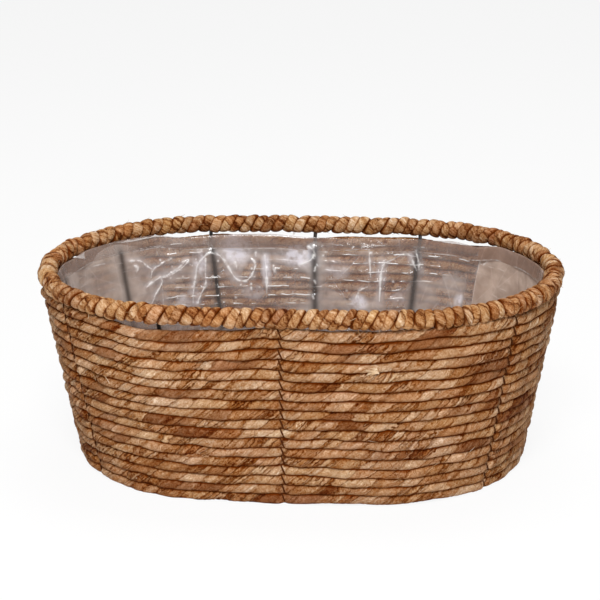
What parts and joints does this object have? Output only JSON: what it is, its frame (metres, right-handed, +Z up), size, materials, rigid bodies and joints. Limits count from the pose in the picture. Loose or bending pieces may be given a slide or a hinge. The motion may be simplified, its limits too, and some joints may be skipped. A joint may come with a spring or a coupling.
{
  "type": "planter basket",
  "caption": "Oval planter basket of coiled leaf rope sewn to a welded wire frame, with a rope-wrapped rim and a clear film liner.",
  "frame": {"origin": "on the floor, in the middle of the oval", "axes": "+X along the length, -Y towards the front, +Z up"},
  "size_m": [0.4, 0.262, 0.1511],
  "materials": {
    "leaf_rope": "dry twisted leaf",
    "rim_rope": "dry twisted leaf",
    "wire": "black paint",
    "thread": "dark waxed thread",
    "film": "clear crumpled film"
  },
  "bodies": {
    "root": {"wall_rope": "leaf_rope", "base_rope": "leaf_rope", "rim_wrap": "rim_rope", "top_ring_wire": "wire", "base_ring_wire": "wire", "rib_front_centre": "wire", "rib_front_right": "wire", "rib_front_right_corner": "wire", "rib_right_end": "wire", "rib_back_right_corner": "wire", "rib_back_right": "wire", "rib_back_centre": "wire", "rib_back_left": "wire", "rib_back_left_corner": "wire", "rib_left_end": "wire", "rib_front_left_corner": "wire", "rib_front_left": "wire", "base_wire_centre": "wire", "base_wire_right": "wire", "base_wire_far_right": "wire", "base_wire_far_left": "wire", "base_wire_left": "wire", "stitch_front_centre": "thread", "stitch_front_right_corner": "thread", "stitch_right_end": "thread", "stitch_back_right_corner": "thread", "stitch_back_centre": "thread", "stitch_back_left_corner": "thread", "stitch_left_end": "thread", "stitch_front_left_corner": "thread", "liner": "film"}
  },
  "joints": []
}
